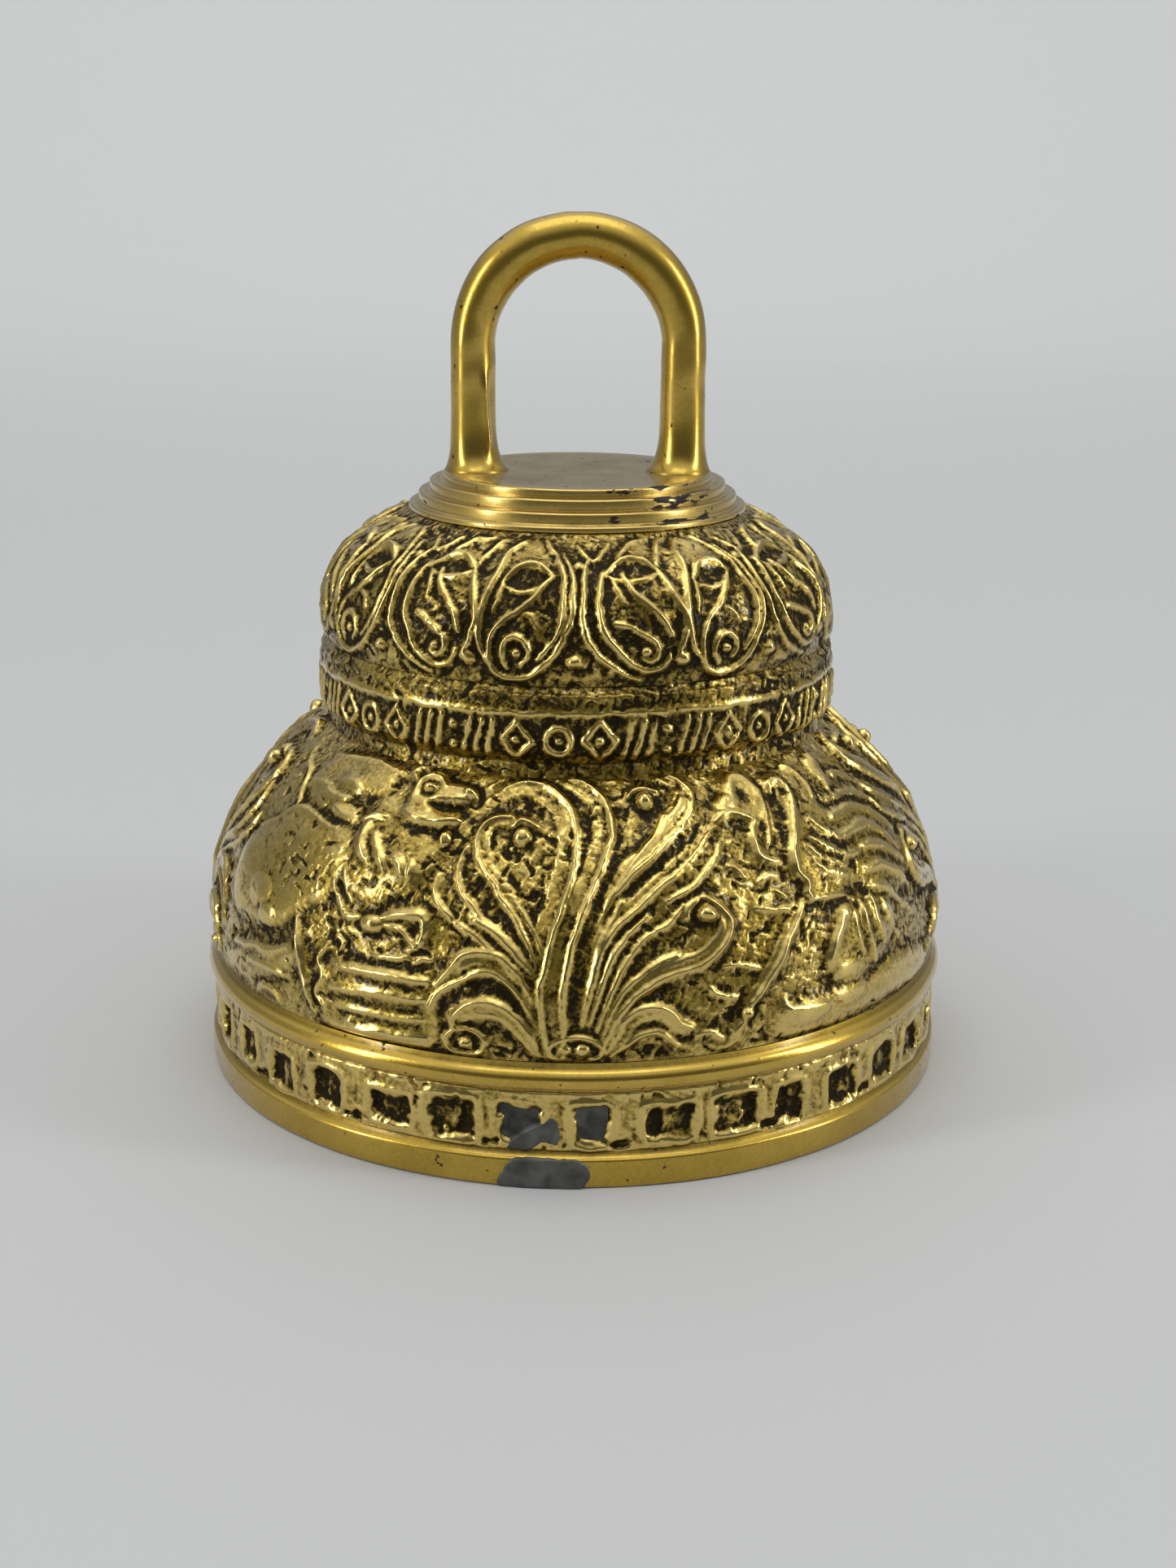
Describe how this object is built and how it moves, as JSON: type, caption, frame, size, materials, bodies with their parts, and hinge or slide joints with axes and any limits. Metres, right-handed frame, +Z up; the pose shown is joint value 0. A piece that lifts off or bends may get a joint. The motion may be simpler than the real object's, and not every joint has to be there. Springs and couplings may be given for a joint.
{
  "type": "temple bell",
  "caption": "Stepped cast brass altar bell with relief ornament on its skirt and dome, a loop handle on a turned crown plate, and a swinging ball clapper.",
  "frame": {"origin": "centre of the mouth, on the plane that the rim stands on", "axes": "+Z up along the bell's axis towards the loop, X along the width of the loop handle, -Y out of the face with the solder repairs"},
  "size_m": [0.1254, 0.1254, 0.1387],
  "materials": {
    "cast_brass": "cast, worn bright on the relief and dark in the hollows",
    "turned_brass": "turned and hand-polished, dark spots left in the corners",
    "handle_brass": "hand-polished casting with a seam and small pits",
    "washer_steel": "dull plated steel",
    "hanger_steel": "dark forged steel",
    "link_steel": "dark steel wire, bright where it rubs",
    "clapper_iron": "forged, black with a little rust",
    "nut_steel": "dull steel",
    "striker_brass": "tarnished, bright where it strikes",
    "solder": "dull grey filed soft solder"
  },
  "bodies": {
    "bell": {"bell_body": "cast_brass", "crown_plate": "turned_brass", "loop_handle": "handle_brass", "crown_washer": "washer_steel", "eye_bolt": "hanger_steel", "lip_repair": "solder", "frieze_repair": "solder"},
    "link": {"suspension_link": "link_steel"},
    "clapper": {"clapper_shank": "clapper_iron", "clapper_jam_nut": "nut_steel", "clapper_ball": "striker_brass"}
  },
  "joints": [
    {"name": "link_swing", "type": "hinge", "parent": "bell", "child": "link", "pos_m": [0, 0, 0.0792], "axis": [1, 0, 0], "range_deg": [-8, 8]},
    {"name": "clapper_swing", "type": "hinge", "parent": "link", "child": "clapper", "pos_m": [0, 0, 0.0696], "axis": [0, 1, 0], "range_deg": [-48, 48]}
  ]
}
